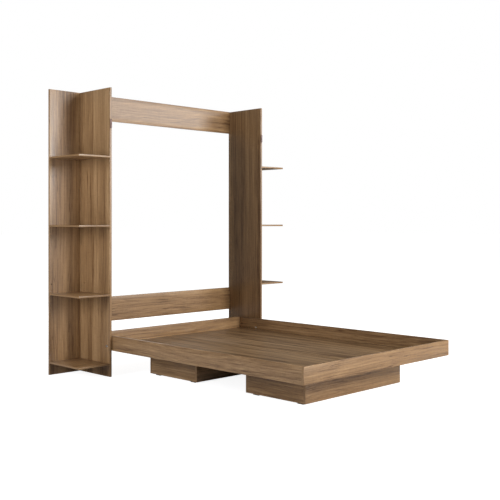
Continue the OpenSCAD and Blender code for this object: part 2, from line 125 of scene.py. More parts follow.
class Slot(Enum):
    """The record's material slots."""

    WALNUT = "walnut_board"
    BEECH = "beech"
    ZINC = "zinc_steel"
    BRIGHT = "bright_steel"
    BRONZED = "bronzed_steel"
    BROWN_PLASTIC = "brown_plastic"
    BLACK_PLASTIC = "black_plastic"


Colour = tuple[float, float, float]


# ------------------------------------------------------------------ shader building


class Shader:
    """A small builder for one material's node tree."""

    def __init__(self, name: str) -> None:
        """Starts an empty material.

        Args:
            name: The material's name.
        """
        self.material = bpy.data.materials.new(name)
        self.material.use_nodes = True
        self.tree = self.material.node_tree
        self.tree.nodes.clear()
        output = self.tree.nodes.new("ShaderNodeOutputMaterial")
        self.surface = self.tree.nodes.new("ShaderNodeBsdfPrincipled")
        self.link(self.surface.outputs["BSDF"], output.inputs["Surface"])

    def link(self, source: bpy.types.NodeSocket, target: bpy.types.NodeSocket) -> None:
        """Joins two sockets."""
        self.tree.links.new(source, target)

    def feed(self, socket: bpy.types.NodeSocket, value: object) -> None:
        """Links a socket to a node output, or sets it to a constant.

        Args:
            socket: The input socket.
            value: A node output, or a constant.
        """
        if isinstance(value, bpy.types.NodeSocket):
            self.link(value, socket)
        else:
            socket.default_value = value

    def place(self, shift: str | None = None) -> bpy.types.NodeSocket:
        """Gives the object coordinates, moved by a piece's own attribute.

        Args:
            shift: Name of a vector attribute on the mesh, or None.

        Returns:
            The vector socket.
        """
        coords = self.tree.nodes.new("ShaderNodeTexCoord").outputs["Object"]
        if shift is None:
            return coords
        attribute = self.tree.nodes.new("ShaderNodeAttribute")
        attribute.attribute_name = shift
        add = self.tree.nodes.new("ShaderNodeVectorMath")
        add.operation = "ADD"
        self.link(coords, add.inputs[0])
        self.link(attribute.outputs["Vector"], add.inputs[1])
        return add.outputs["Vector"]

    def stretch(self, vector: bpy.types.NodeSocket, scale: Vector) -> bpy.types.NodeSocket:
        """Scales coordinates by a different amount along each axis.

        Args:
            vector: Coordinates.
            scale: The factor along each axis.

        Returns:
            The scaled coordinates.
        """
        node = self.tree.nodes.new("ShaderNodeMapping")
        self.link(vector, node.inputs["Vector"])
        node.inputs["Scale"].default_value = scale
        return node.outputs["Vector"]

    def noise(
        self,
        vector: bpy.types.NodeSocket,
        scale: float = 1.0,
        detail: float = 2.0,
        roughness: float = 0.5,
        distortion: float = 0.0,
    ) -> bpy.types.NodeSocket:
        """Adds a noise texture.

        Args:
            vector: Coordinates.
            scale: Cells per unit.
            detail: Octaves.
            roughness: Strength of the finer octaves.
            distortion: How far the pattern is pushed about.

        Returns:
            The noise value, near 0.5 on average.
        """
        node = self.tree.nodes.new("ShaderNodeTexNoise")
        self.link(vector, node.inputs["Vector"])
        node.inputs["Scale"].default_value = scale
        node.inputs["Detail"].default_value = detail
        node.inputs["Roughness"].default_value = roughness
        node.inputs["Distortion"].default_value = distortion
        return node.outputs["Fac"]

    def math(self, operation: str, a: object, b: object = 0.0, clamp: bool = False) -> object:
        """Adds a math node.

        Args:
            operation: The name of the operation.
            a: First value or socket.
            b: Second value or socket.
            clamp: Whether the result is kept within 0..1.

        Returns:
            The value socket.
        """
        node = self.tree.nodes.new("ShaderNodeMath")
        node.operation = operation
        node.use_clamp = clamp
        self.feed(node.inputs[0], a)
        self.feed(node.inputs[1], b)
        return node.outputs[0]

    def spread(self, value: bpy.types.NodeSocket, low: float, high: float) -> object:
        """Maps low..high to 0..1 smoothly, clamped.

        Args:
            value: The socket to map.
            low: What becomes 0.
            high: What becomes 1.

        Returns:
            The mapped value.
        """
        node = self.tree.nodes.new("ShaderNodeMapRange")
        node.interpolation_type = "SMOOTHSTEP"
        self.link(value, node.inputs["Value"])
        node.inputs["From Min"].default_value = low
        node.inputs["From Max"].default_value = high
        return node.outputs["Result"]

    def to_range(self, value: bpy.types.NodeSocket, low: float, high: float) -> object:
        """Maps 0..1 to low..high.

        Args:
            value: The socket to map.
            low: What 0 becomes.
            high: What 1 becomes.

        Returns:
            The mapped value.
        """
        node = self.tree.nodes.new("ShaderNodeMapRange")
        self.link(value, node.inputs["Value"])
        node.inputs["To Min"].default_value = low
        node.inputs["To Max"].default_value = high
        return node.outputs["Result"]

    def ramp(self, value: object, stops: list[tuple[float, Colour]]) -> bpy.types.NodeSocket:
        """Adds a colour ramp.

        Args:
            value: The factor socket.
            stops: Positions and linear colours, in order.

        Returns:
            The colour socket.
        """
        node = self.tree.nodes.new("ShaderNodeValToRGB")
        node.color_ramp.interpolation = "EASE"
        elements = node.color_ramp.elements
        while len(elements) < len(stops):
            elements.new(0.5)
        for element, (position, colour) in zip(elements, stops):
            element.position = position
            element.color = (*colour, 1.0)
        self.link(value, node.inputs["Fac"])
        return node.outputs["Color"]

    def mix(self, factor: object, a: object, b: object, blend: str = "MIX") -> object:
        """Mixes two colours.

        Args:
            factor: The share of the second colour.
            a: First colour or socket.
            b: Second colour or socket.
            blend: The name of the blend.

        Returns:
            The colour socket.
        """
        node = self.tree.nodes.new("ShaderNodeMix")
        node.data_type = "RGBA"
        node.blend_type = blend
        self.feed(node.inputs[0], factor)
        self.feed(node.inputs[6], a if isinstance(a, bpy.types.NodeSocket) else (*a, 1.0))
        self.feed(node.inputs[7], b if isinstance(b, bpy.types.NodeSocket) else (*b, 1.0))
        return node.outputs[2]

    def bump(self, height: bpy.types.NodeSocket, strength: float, depth: float) -> None:
        """Gives the surface a bump.

        Args:
            height: The relief.
            strength: Its strength, 0 to 1.
            depth: Its depth in metres.
        """
        node = self.tree.nodes.new("ShaderNodeBump")
        node.inputs["Strength"].default_value = strength
        node.inputs["Distance"].default_value = depth
        self.link(height, node.inputs["Height"])
        self.link(node.outputs["Normal"], self.surface.inputs["Normal"])


# ------------------------------------------------------------------ finishes


@dataclass(frozen=True)
class WalnutFinish:
    """Walnut-pattern melamine with its grain along one axis.

    Every *_cells pair is a pattern's cells per metre, across and along the grain.

    Attributes:
        name: The material's name.
        grain: The direction of the grain.
        dark: Linear colour of the darkest streaks.
        brown: Colour of the darker wood.
        tan: Colour of the paler wood.
        pale: Colour of the palest streaks.
        contrast: Strength of the whole pattern.
        middle_tone: Where plain wood lies between dark, 0, and pale, 1.
        band_weight: Strength of the broad bands.
        streak_weight: Strength of the streaks.
        thread_weight: Strength of the fine threads.
        cross_weight: Strength of the figure across the grain.
        ring_weight: Strength of the growth rings.
        flame_weight: Strength of the short dark flames.
        sway_width: How far the grain wanders, in metres.
        ring_count: Growth rings per unit of their pattern.
        sway_cells: Cells of the grain's wandering.
        band_cells: Cells of the broad bands.
        streak_cells: Cells of the streaks.
        thread_cells: Cells of the fine threads.
        cross_cells: Cells of the figure across the grain.
        ring_cells: Cells of the growth rings.
        flame_cells: Cells of the short dark flames.
        pore_cells: Cells of the pores.
        pore_shade: How dark the pores are, as a share of the colour.
        pore_depth: Depth of the embossed pores, in metres.
        roughness: Lowest and highest roughness.
        gloss: Specular level.
    """

    name: str
    grain: Axis
    dark: Colour = (0.142, 0.070, 0.026)
    brown: Colour = (0.246, 0.138, 0.060)
    tan: Colour = (0.332, 0.193, 0.086)
    pale: Colour = (0.440, 0.270, 0.130)
    contrast: float = 1.0
    middle_tone: float = 0.56
    band_weight: float = 1.05
    streak_weight: float = 1.35
    thread_weight: float = 0.85
    cross_weight: float = 0.14
    ring_weight: float = 0.07
    flame_weight: float = -0.45
    sway_cells: tuple[float, float] = (2.2, 0.8)
    sway_width: float = 0.07
    band_cells: tuple[float, float] = (11.0, 0.35)
    streak_cells: tuple[float, float] = (70.0, 1.1)
    thread_cells: tuple[float, float] = (300.0, 6.0)
    cross_cells: tuple[float, float] = (24.0, 90.0)
    ring_cells: tuple[float, float] = (6.5, 0.75)
    ring_count: float = 62.0
    flame_cells: tuple[float, float] = (85.0, 5.5)
    pore_cells: tuple[float, float] = (620.0, 34.0)
    pore_shade: float = 0.60
    pore_depth: float = 0.00018
    roughness: tuple[float, float] = (0.31, 0.44)
    gloss: float = 0.72

    def make(self) -> bpy.types.Material:
        """Builds the material.

        Returns:
            The material.
        """
        shader = Shader(self.name)
        flow = self._flow(shader)
        threads = self._pattern(shader, flow, self.thread_cells, detail=2.0)
        pore_field = self._pattern(shader, flow, self.pore_cells, detail=1.0)
        pores = shader.spread(pore_field, 0.62, 0.74)
        colour = shader.ramp(
            self._tone(shader, flow, threads),
            [(0.08, self.dark), (0.40, self.brown), (0.64, self.tan), (0.95, self.pale)],
        )
        shade = self._grey(shader, shader.to_range(pores, 1.0, self.pore_shade))
        colour = shader.mix(1.0, colour, shade, "MULTIPLY")
        shader.link(colour, shader.surface.inputs["Base Color"])
        shader.link(
            shader.to_range(threads, *self.roughness), shader.surface.inputs["Roughness"]
        )
        shader.surface.inputs["Specular IOR Level"].default_value = self.gloss
        relief = shader.math("SUBTRACT", shader.math("MULTIPLY", threads, 0.5), pores)
        shader.bump(relief, 0.5, self.pore_depth)
        return shader.material

    def _flow(self, shader: Shader) -> bpy.types.NodeSocket:
        """Gives the board's coordinates, swayed so that the grain wanders.

        Args:
            shader: The material being built.

        Returns:
            The coordinates.
        """
        place = shader.place(GRAIN_SHIFT)
        drift = self._pattern(shader, place, self.sway_cells, detail=1.0)
        sway = shader.math("MULTIPLY", shader.math("SUBTRACT", drift, 0.5), self.sway_width)
        sideways = shader.tree.nodes.new("ShaderNodeCombineXYZ")
        for index in range(3):
            if index != self.grain.value:
                shader.link(sway, sideways.inputs[index])
        moved = shader.tree.nodes.new("ShaderNodeVectorMath")
        moved.operation = "ADD"
        shader.link(place, moved.inputs[0])
        shader.link(sideways.outputs["Vector"], moved.inputs[1])
        return moved.outputs["Vector"]

    def _pattern(
        self,
        shader: Shader,
        flow: bpy.types.NodeSocket,
        cells: tuple[float, float],
        **settings: float,
    ) -> bpy.types.NodeSocket:
        """Adds noise that is stretched along the grain.

        Args:
            shader: The material being built.
            flow: Coordinates.
            cells: Cells per metre, across and along the grain.
            settings: The noise's detail, roughness and distortion.

        Returns:
            The noise value.
        """
        across, along = cells
        scale = Vector([along if i == self.grain.value else across for i in range(3)])
        return shader.noise(shader.stretch(flow, scale), **settings)

    def _tone(
        self, shader: Shader, flow: bpy.types.NodeSocket, threads: bpy.types.NodeSocket
    ) -> bpy.types.NodeSocket:
        """Adds up the pattern's layers.

        Args:
            shader: The material being built.
            flow: Coordinates.
            threads: The fine threads' value.

        Returns:
            The tone, 0 for dark wood and 1 for pale.
        """
        bands = self._pattern(shader, flow, self.band_cells, detail=2.0)
        streaks = self._pattern(shader, flow, self.streak_cells, detail=3.0, roughness=0.66)
        cross = self._pattern(shader, flow, self.cross_cells, detail=1.0)
        rings = self._pattern(shader, flow, self.ring_cells, detail=1.0, distortion=0.35)
        rings = shader.math("SINE", shader.math("MULTIPLY", rings, self.ring_count))
        rings = shader.math("MULTIPLY", rings, shader.spread(bands, 0.42, 0.66))
        flame = self._pattern(shader, flow, self.flame_cells, detail=3.0, distortion=0.6)
        flame = shader.math(
            "MULTIPLY", shader.spread(flame, 0.56, 0.72), shader.spread(bands, 0.60, 0.40)
        )
        tone = shader.math("MULTIPLY", shader.math("SUBTRACT", bands, 0.5), self.band_weight)
        for layer, weight in (
            (shader.math("SUBTRACT", streaks, 0.5), self.streak_weight),
            (shader.math("SUBTRACT", threads, 0.5), self.thread_weight),
            (shader.math("SUBTRACT", cross, 0.5), self.cross_weight),
            (rings, self.ring_weight),
            (flame, self.flame_weight),
        ):
            tone = shader.math("ADD", tone, shader.math("MULTIPLY", layer, weight))
        tone = shader.math("MULTIPLY", tone, self.contrast)
        return shader.math("ADD", tone, self.middle_tone, clamp=True)

    def _grey(self, shader: Shader, value: object) -> bpy.types.NodeSocket:
        """Turns a value into a grey colour.

        Args:
            shader: The material being built.
            value: The value or socket.

        Returns:
            The colour socket.
        """
        node = shader.tree.nodes.new("ShaderNodeCombineColor")
        for socket in node.inputs[:3]:
            shader.feed(socket, value)
        return node.outputs["Color"]


@dataclass(frozen=True)
class MetalFinish:
    """Plated or bronzed steel with fine brushing and handling marks.

    Attributes:
        name: The material's name.
        colour: Linear colour of the sound surface.
        worn: Colour where it is worn.
        metallic: How far it is bare metal.
        roughness: Lowest and highest roughness.
        brush: Brush lines per metre.
    """

    name: str
    colour: Colour
    worn: Colour
    metallic: float = 1.0
    roughness: tuple[float, float] = (0.25, 0.42)
    brush: float = 900.0

    def make(self) -> bpy.types.Material:
        """Builds the material.

        Returns:
            The material.
        """
        shader = Shader(self.name)
        place = shader.place()
        brushed = shader.noise(
            shader.stretch(place, Vector((self.brush, self.brush, self.brush * 0.08))), detail=3.0
        )
        clouds = shader.noise(place, scale=140.0, detail=3.0)
        scuffs = shader.spread(shader.noise(place, scale=420.0, detail=4.0), 0.58, 0.70)
        colour = shader.mix(shader.spread(clouds, 0.35, 0.70), self.colour, self.worn)
        colour = shader.mix(shader.math("MULTIPLY", scuffs, 0.35), colour, self.worn)
        shader.link(colour, shader.surface.inputs["Base Color"])
        shader.surface.inputs["Metallic"].default_value = self.metallic
        shader.link(
            shader.to_range(brushed, *self.roughness), shader.surface.inputs["Roughness"]
        )
        shader.bump(brushed, 0.25, 0.00003)
        return shader.material


@dataclass(frozen=True)
class PlasticFinish:
    """Moulded plastic with a fine spark-eroded texture.

    Attributes:
        name: The material's name.
        colour: Linear colour of the sound surface.
        worn: Colour where it is worn.
        roughness: Lowest and highest roughness.
    """

    name: str
    colour: Colour
    worn: Colour
    roughness: tuple[float, float] = (0.45, 0.65)

    def make(self) -> bpy.types.Material:
        """Builds the material.

        Returns:
            The material.
        """
        shader = Shader(self.name)
        place = shader.place()
        pitted = shader.noise(place, scale=2600.0, detail=2.0)
        clouds = shader.noise(place, scale=60.0, detail=3.0)
        shader.link(
            shader.mix(shader.spread(clouds, 0.35, 0.75), self.colour, self.worn),
            shader.surface.inputs["Base Color"],
        )
        shader.link(
            shader.to_range(pitted, *self.roughness), shader.surface.inputs["Roughness"]
        )
        shader.bump(pitted, 0.35, 0.00004)
        return shader.material


class Finishes:
    """Every material of the object, made once and looked up by the pieces.

    Attributes:
        faces: The boards' faces, by the direction of their grain.
        platform: The faces of the platform boards, in darker tones than the other walnut that are
            partly painted shade.
        edges: The boards' edge bands, by the direction of their grain.
        slots: The material of each slot that has only one.
    """

    def __init__(self) -> None:
        """Makes the materials."""
        self.faces = {
            finish.grain: finish.make()
            for finish in (
                WalnutFinish(
                    "walnut_face_x",
                    Axis.X,
                    streak_cells=(80.0, 1.1),
                    band_weight=1.0,
                    streak_weight=1.2,
                    thread_weight=1.05,
                ),
                WalnutFinish(
                    "walnut_face_y",
                    Axis.Y,
                    streak_cells=(75.0, 1.1),
                    band_weight=0.75,
                    streak_weight=1.7,
                    thread_weight=1.4,
                ),
                WalnutFinish(
                    "walnut_face_z", Axis.Z, band_weight=1.5, streak_weight=1.45
                ),
            )
        }
        # The platform boards carry the same walnut foil as the other boards; their darker colours
        # here are partly painted shade on the up-facing tray.
        self.platform = WalnutFinish(
            "walnut_platform_painted_shade",
            Axis.Y,
            dark=(0.120, 0.062, 0.024),
            brown=(0.228, 0.131, 0.060),
            tan=(0.308, 0.183, 0.085),
            pale=(0.410, 0.256, 0.126),
            streak_cells=(44.0, 1.1),
            band_weight=0.3,
            streak_weight=3.7,
            thread_weight=1.2,
            gloss=0.55,
        ).make()
        self.edges = {
            axis: WalnutFinish(
                f"walnut_edge_band_{axis.name.lower()}",
                axis,
                contrast=0.55,
                ring_weight=0.0,
                pore_depth=0.0001,
            ).make()
            for axis in Axis
        }
        self.slots = {
            Slot.BEECH: WalnutFinish(
                "raw_beech",
                Axis.Z,
                dark=(0.42, 0.26, 0.13),
                brown=(0.55, 0.37, 0.20),
                tan=(0.66, 0.47, 0.28),
                pale=(0.74, 0.56, 0.36),
                contrast=0.6,
                ring_weight=0.0,
                roughness=(0.6, 0.75),
            ).make(),
            Slot.ZINC: MetalFinish("zinc_plate", (0.52, 0.53, 0.54), (0.66, 0.66, 0.65)).make(),
            Slot.BRIGHT: MetalFinish(
                "nickel_plate", (0.80, 0.77, 0.73), (0.90, 0.87, 0.83), roughness=(0.32, 0.46)
            ).make(),
            Slot.BRONZED: MetalFinish(
                "bronzed_steel",
                (0.100, 0.060, 0.052),
                (0.195, 0.136, 0.120),
                metallic=0.7,
                roughness=(0.40, 0.56),
            ).make(),
            Slot.BROWN_PLASTIC: PlasticFinish(
                "brown_plastic", (0.085, 0.048, 0.026), (0.125, 0.075, 0.042)
            ).make(),
            Slot.BLACK_PLASTIC: PlasticFinish(
                "black_plastic", (0.012, 0.011, 0.010), (0.028, 0.026, 0.024)
            ).make(),
        }

    def of(self, slot: Slot) -> bpy.types.Material:
        """The material of a slot that has only one."""
        return self.slots[slot]


# ------------------------------------------------------------------ mesh helpers


def add_object(name: str, mesh: bpy.types.Mesh) -> bpy.types.Object:
    """Puts a mesh in the scene as an object at the origin.

    Args:
        name: The object's name.
        mesh: Its mesh.

    Returns:
        The object.
    """
    obj = bpy.data.objects.new(name, mesh)
    bpy.context.scene.collection.objects.link(obj)
    return obj


def welded(node: bpy.types.Object) -> bmesh.types.BMesh:
    """Copies a CAD node's loose triangles and joins them into flat faces.

    Args:
        node: The CAD node's object.

    Returns:
        A new bmesh, which the caller frees.
    """
    mesh = bmesh.new()
    mesh.from_mesh(node.data)
    bmesh.ops.remove_doubles(mesh, verts=mesh.verts, dist=MERGE)
    bmesh.ops.dissolve_limit(
        mesh, angle_limit=math.radians(FLAT_DEG), verts=mesh.verts, edges=mesh.edges
    )
    return mesh


def corners(points: Iterable[Vector]) -> tuple[Vector, Vector]:
    """Finds the box around a set of points.

    Args:
        points: The points.

    Returns:
        The lowest and the highest corner.
    """
    listed = list(points)
    low = Vector([min(p[i] for p in listed) for i in range(3)])
    high = Vector([max(p[i] for p in listed) for i in range(3)])
    return low, high


def longest(size: Vector) -> int:
    """Index of a size's longest side."""
    return max(range(3), key=lambda i: size[i])


def finish_mesh(mesh: bmesh.types.BMesh, name: str) -> bpy.types.Mesh:
    """Writes a bmesh to a new mesh and frees it.

    Args:
        mesh: The bmesh.
        name: The new mesh's name.

    Returns:
        The new mesh.
    """
    data = bpy.data.meshes.new(name)
    mesh.to_mesh(data)
    mesh.free()
    if "custom_normal" in data.attributes:
        data.attributes.remove(data.attributes["custom_normal"])
    return data


def islands(node: bpy.types.Object) -> list[tuple[Vector, Vector, list[Vector]]]:
    """Splits a CAD node into its separate solids.

    Args:
        node: The CAD node's object.

    Returns:
        For each solid its lowest corner, its highest corner and its points.
    """
    mesh = bmesh.new()
    mesh.from_mesh(node.data)
    bmesh.ops.remove_doubles(mesh, verts=mesh.verts, dist=MERGE)
    found, seen = [], set()
    for start in mesh.verts:
        if start in seen:
            continue
        group, queue = [], [start]
        seen.add(start)
        while queue:
            vert = queue.pop()
            group.append(vert.co.copy())
            for edge in vert.link_edges:
                other = edge.other_vert(vert)
                if other not in seen:
                    seen.add(other)
                    queue.append(other)
        found.append((*corners(group), group))
    mesh.free()
    return found


def soften(obj: bpy.types.Object, width: float, segments: int = 2, angle: float = 35.0) -> None:
    """Rounds an object's sharp edges and applies the result.

    Args:
        obj: The object.
        width: How far the edges are rounded.
        segments: Facets of each rounded edge.
        angle: Edges sharper than this are rounded, in degrees.
    """
    bevel = obj.modifiers.new("edge_round", "BEVEL")
    bevel.width = width
    bevel.segments = segments
    bevel.limit_method = "ANGLE"
    bevel.angle_limit = math.radians(angle)
    bevel.use_clamp_overlap = True
    bake_modifiers(obj)
    obj.data.set_sharp_from_angle(angle=math.radians(angle))


def bake_modifiers(obj: bpy.types.Object) -> None:
    """Turns an object's modifiers into its plain mesh and removes them.

    Args:
        obj: The object.
    """
    graph = bpy.context.evaluated_depsgraph_get()
    graph.update()
    data = bpy.data.meshes.new_from_object(obj.evaluated_get(graph), depsgraph=graph)
    obj.modifiers.clear()
    obj.data = data


def settle(
    obj: bpy.types.Object, body: Body, replaced: list[str], what: str
) -> bpy.types.Object:
    """Args:
        obj: The piece.
        body: The body it moves with.
        replaced: CAD nodes that it stands for.
        what: Words for the log.

    Returns:
        The piece.
    """
    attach(obj, body.value)
    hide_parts(*replaced)
    LOG.info("%s: %s, %d faces", obj.name, what, len(obj.data.polygons))
    return obj


# ------------------------------------------------------------------ boards


@dataclass
class Board:
    """One melamine-faced board with edge bands and softened edges.

    Attributes:
        node: The CAD node it stands for.
        body: The body it moves with.
        grain: The direction of its grain.
        seed: Picks the board's own stretch of the pattern.
        round_width: How far the edges are rounded.
        platform: Whether it carries the mattress, and so takes the darker platform finish, which
            is partly painted shade.
        flat_limit: Faces that look along an axis more than this are shaded flat.
        sharp_deg: Edges sharper than this stay sharp, in degrees.
        shift_reach: How far the pattern may be moved, in metres.
    """

    node: str
    body: Body
    grain: Axis
    seed: int
    round_width: float = 0.0009
    platform: bool = False
    flat_limit: float = 0.9999
    sharp_deg: float = 40.0
    shift_reach: float = 9.0

    def build(self, frame: dict, finishes: Finishes) -> bpy.types.Object:
        """Makes the board from its CAD node.

        Args:
            frame: The loaded frame.
            finishes: The materials.

        Returns:
            The finished piece.
        """
        mesh = welded(frame["nodes"][self.node])
        low, high = corners(v.co for v in mesh.verts)
        size = high - low
        thin = min(range(3), key=lambda i: size[i])
        others = [i for i in range(3) if i != thin]
        self._round(mesh, low, high)
        for face in mesh.faces:
            facing = longest(Vector([abs(c) for c in face.normal]))
            centre = face.calc_center_bounds()
            outer = min(abs(centre[facing] - low[facing]), abs(centre[facing] - high[facing]))
            if facing == thin or outer > 2 * self.round_width:
                face.material_index = 0
            else:
                along = next(i for i in others if i != facing)
                face.material_index = 1 + others.index(along)
            face.smooth = max(abs(c) for c in face.normal) < self.flat_limit
        obj = add_object(f"{self.node}_board", finish_mesh(mesh, self.node))
        obj.data.set_sharp_from_angle(angle=math.radians(self.sharp_deg))
        face_finish = finishes.platform if self.platform else finishes.faces[self.grain]
        obj.data.materials.append(face_finish)
        for index in others:
            obj.data.materials.append(finishes.edges[Axis(index)])
        self._shift_grain(obj)
        return settle(obj, self.body, [self.node], "faced board")

    def _round(self, mesh: bmesh.types.BMesh, low: Vector, high: Vector) -> None:
        """Rounds the board's twelve outer edges.

        Args:
            mesh: The board's bmesh.
            low: Its lowest corner.
            high: Its highest corner.
        """

        def on_planes(point: Vector) -> set[tuple[int, int]]:
            """Finds the box planes that a point lies on.

            Args:
                point: The point.

            Returns:
                The axis and the side of each plane.
            """
            return {
                (i, side)
                for i in range(3)
                for side, corner in enumerate((low, high))
                if abs(point[i] - corner[i]) < 2 * MERGE
            }

        outer = [
            e
            for e in mesh.edges
            if len(on_planes(e.verts[0].co) & on_planes(e.verts[1].co)) >= 2
        ]
        bmesh.ops.bevel(
            mesh,
            geom=outer,
            offset=self.round_width,
            segments=3,
            profile=0.5,
            affect="EDGES",
            clamp_overlap=True,
        )

    def _shift_grain(self, obj: bpy.types.Object) -> None:
        """Gives the board its own stretch of the walnut pattern.

        Args:
            obj: The board's object.
        """
        draw = random.Random(self.seed)
        shift = [draw.uniform(-self.shift_reach, self.shift_reach) for _ in range(3)]
        attribute = obj.data.attributes.new(GRAIN_SHIFT, "FLOAT_VECTOR", "POINT")
        attribute.data.foreach_set("vector", shift * len(obj.data.vertices))


# ------------------------------------------------------------------ geometry node trees


class NodeGroup:
    """A small builder for one geometry node tree."""

    def __init__(self, name: str, sizes: dict[str, float]) -> None:
        """Starts a tree with a mesh input and named sizes.

        Args:
            name: The tree's name.
            sizes: Default value of each named input, in metres.
        """
        self.tree = bpy.data.node_groups.new(name, "GeometryNodeTree")
        face = self.tree.interface
        face.new_socket("Points", in_out="INPUT", socket_type="NodeSocketGeometry")
        for label, value in sizes.items():
            socket = face.new_socket(label, in_out="INPUT", socket_type="NodeSocketFloat")
            socket.default_value = value
        face.new_socket("Mesh", in_out="OUTPUT", socket_type="NodeSocketGeometry")
        self.start = self.tree.nodes.new("NodeGroupInput")
        self.end = self.tree.nodes.new("NodeGroupOutput")

    def size(self, label: str) -> bpy.types.NodeSocket:
        """The socket of a named size."""
        return self.start.outputs[label]

    def add(self, kind: str, inputs: dict | None = None, **settings: object) -> bpy.types.Node:
        """Adds a node, sets its properties and feeds its inputs.

        Args:
            kind: The node's type name.
            inputs: Values or output sockets, by input name or index.
            settings: Properties of the node.

        Returns:
            The node.
        """
        node = self.tree.nodes.new(kind)
        for key, value in settings.items():
            setattr(node, key, value)
        for key, value in (inputs or {}).items():
            socket = node.inputs[key]
            for single in value if isinstance(value, list) else [value]:
                if isinstance(single, bpy.types.NodeSocket):
                    self.tree.links.new(single, socket)
                else:
                    socket.default_value = single
        return node

    def math(self, operation: str, a: object, b: object = 0.0) -> bpy.types.NodeSocket:
        """Adds a math node and returns its value."""
        return self.add("ShaderNodeMath", {0: a, 1: b}, operation=operation).outputs[0]

    def vector(self, x: object = 0.0, y: object = 0.0, z: object = 0.0) -> bpy.types.NodeSocket:
        """Combines three values into a vector."""
        return self.add("ShaderNodeCombineXYZ", {0: x, 1: y, 2: z}).outputs[0]

    def move(self, geometry: object, **parts: object) -> bpy.types.NodeSocket:
        """Moves, turns or scales a geometry.

        Args:
            geometry: The geometry.
            parts: The offset, turn or scale.

        Returns:
            The moved geometry.
        """
        names = {"offset": "Translation", "turn": "Rotation", "scale": "Scale"}
        inputs = {names[key]: value for key, value in parts.items()}
        return self.add("GeometryNodeTransform", {"Geometry": geometry, **inputs}).outputs[0]

    def join(self, *parts: object) -> bpy.types.NodeSocket:
        """Joins geometries."""
        return self.add("GeometryNodeJoinGeometry", {0: list(parts)}).outputs[0]

    def cut(self, body: object, *tools: object) -> bpy.types.NodeSocket:
        """Cuts tools out of a mesh.

        Args:
            body: The mesh.
            tools: What is cut out of it.

        Returns:
            The cut mesh.
        """
        node = self.add(
            "GeometryNodeMeshBoolean",
            {"Mesh 1": body, "Mesh 2": list(tools)},
            operation="DIFFERENCE",
            solver="EXACT",
        )
        return node.outputs["Mesh"]

    def rod(self, radius: object, length: object, sides: int = 32) -> bpy.types.NodeSocket:
        """Makes a closed cylinder from the origin along +Z.

        Args:
            radius: Its radius.
            length: Its length.
            sides: Sides of its outline.

        Returns:
            The cylinder.
        """
        node = self.add(
            "GeometryNodeMeshCylinder", {"Vertices": sides, "Radius": radius, "Depth": length}
        )
        half = self.math("MULTIPLY", length, 0.5)
        return self.move(node.outputs["Mesh"], offset=self.vector(0.0, 0.0, half))

    def block(self, x: object, y: object, z: object) -> bpy.types.NodeSocket:
        """A box centred on the origin."""
        return self.add("GeometryNodeMeshCube", {"Size": self.vector(x, y, z)}).outputs["Mesh"]

    def close(self, shape: object, material: bpy.types.Material) -> bpy.types.NodeTree:
        """Sets the shape on every point, along its aim, and ends the tree.

        Args:
            shape: The geometry that is repeated.
            material: The material of the result.

        Returns:
            The finished tree.
        """
        aim = self.add(
            "GeometryNodeInputNamedAttribute", {"Name": AIM}, data_type="FLOAT_VECTOR"
        )
        turn = self.add(
            "FunctionNodeAlignRotationToVector", {"Vector": aim.outputs["Attribute"]}, axis="Z"
        )
        copies = self.add(
            "GeometryNodeInstanceOnPoints",
            {
                "Points": self.start.outputs["Points"],
                "Instance": shape,
                "Rotation": turn.outputs["Rotation"],
            },
        )
        real = self.add("GeometryNodeRealizeInstances", {0: copies.outputs[0]})
        dressed = self.add(
            "GeometryNodeSetMaterial", {"Geometry": real.outputs[0], "Material": material}
        )
        self.tree.links.new(dressed.outputs[0], self.end.inputs[0])
        return self.tree


def screw_tree(material: bpy.types.Material) -> bpy.types.NodeTree:
    """A pan-head screw with a domed head, a cross recess and a thread.

    Args:
        material: The screw's finish.

    Returns:
        The node tree, with its sizes as inputs.
    """
    group = NodeGroup(
        "cross_screw",
        {"Head Radius": 0.004, "Head Height": 0.002, "Shank Radius": 0.002, "Length": 0.014},
    )
    head_r, head_h = group.size("Head Radius"), group.size("Head Height")
    shank_r, length = group.size("Shank Radius"), group.size("Length")
    ball = group.add(
        "GeometryNodeMeshUVSphere", {"Segments": 32, "Rings": 16, "Radius": head_r}
    ).outputs["Mesh"]
    flat = group.math("DIVIDE", head_h, head_r)
    dome = group.move(ball, scale=group.vector(1.0, 1.0, flat))
    wide = group.math("MULTIPLY", head_r, 3.0)
    below = group.block(wide, wide, head_h)
    below = group.move(
        below, offset=group.vector(0.0, 0.0, group.math("MULTIPLY", head_h, -0.5))
    )
    arm, slim = group.math("MULTIPLY", head_r, 1.15), group.math("MULTIPLY", head_r, 0.24)
    top = group.vector(0.0, 0.0, head_h)
    arms = [
        group.move(group.block(*sizes), offset=top)
        for sizes in ((arm, slim, head_h), (slim, arm, head_h))
    ]
    head = group.cut(dome, below, *arms)
    core = group.move(
        group.rod(group.math("MULTIPLY", shank_r, 0.78), length, 24),
        turn=(math.pi, 0.0, 0.0),
    )
    pitch = group.math("MULTIPLY", shank_r, 0.7)
    threaded = group.math("MULTIPLY", length, 0.92)
    thread_r = group.math("MULTIPLY", shank_r, 0.84)
    helix = group.add(
        "GeometryNodeCurveSpiral",
        {
            "Resolution": 14,
            "Rotations": group.math("DIVIDE", threaded, pitch),
            "Start Radius": thread_r,
            "End Radius": thread_r,
            "Height": threaded,
        },
    ).outputs[0]
    profile = group.add(
        "GeometryNodeCurvePrimitiveCircle",
        {"Resolution": 3, "Radius": group.math("MULTIPLY", shank_r, 0.16)},
        mode="RADIUS",
    ).outputs[0]
    thread = group.add(
        "GeometryNodeCurveToMesh", {"Curve": helix, "Profile Curve": profile, "Fill Caps": True}
    ).outputs[0]
    thread = group.move(
        thread, offset=group.vector(0.0, 0.0, group.math("MULTIPLY", length, -0.96))
    )
    return group.close(group.join(head, core, thread), material)


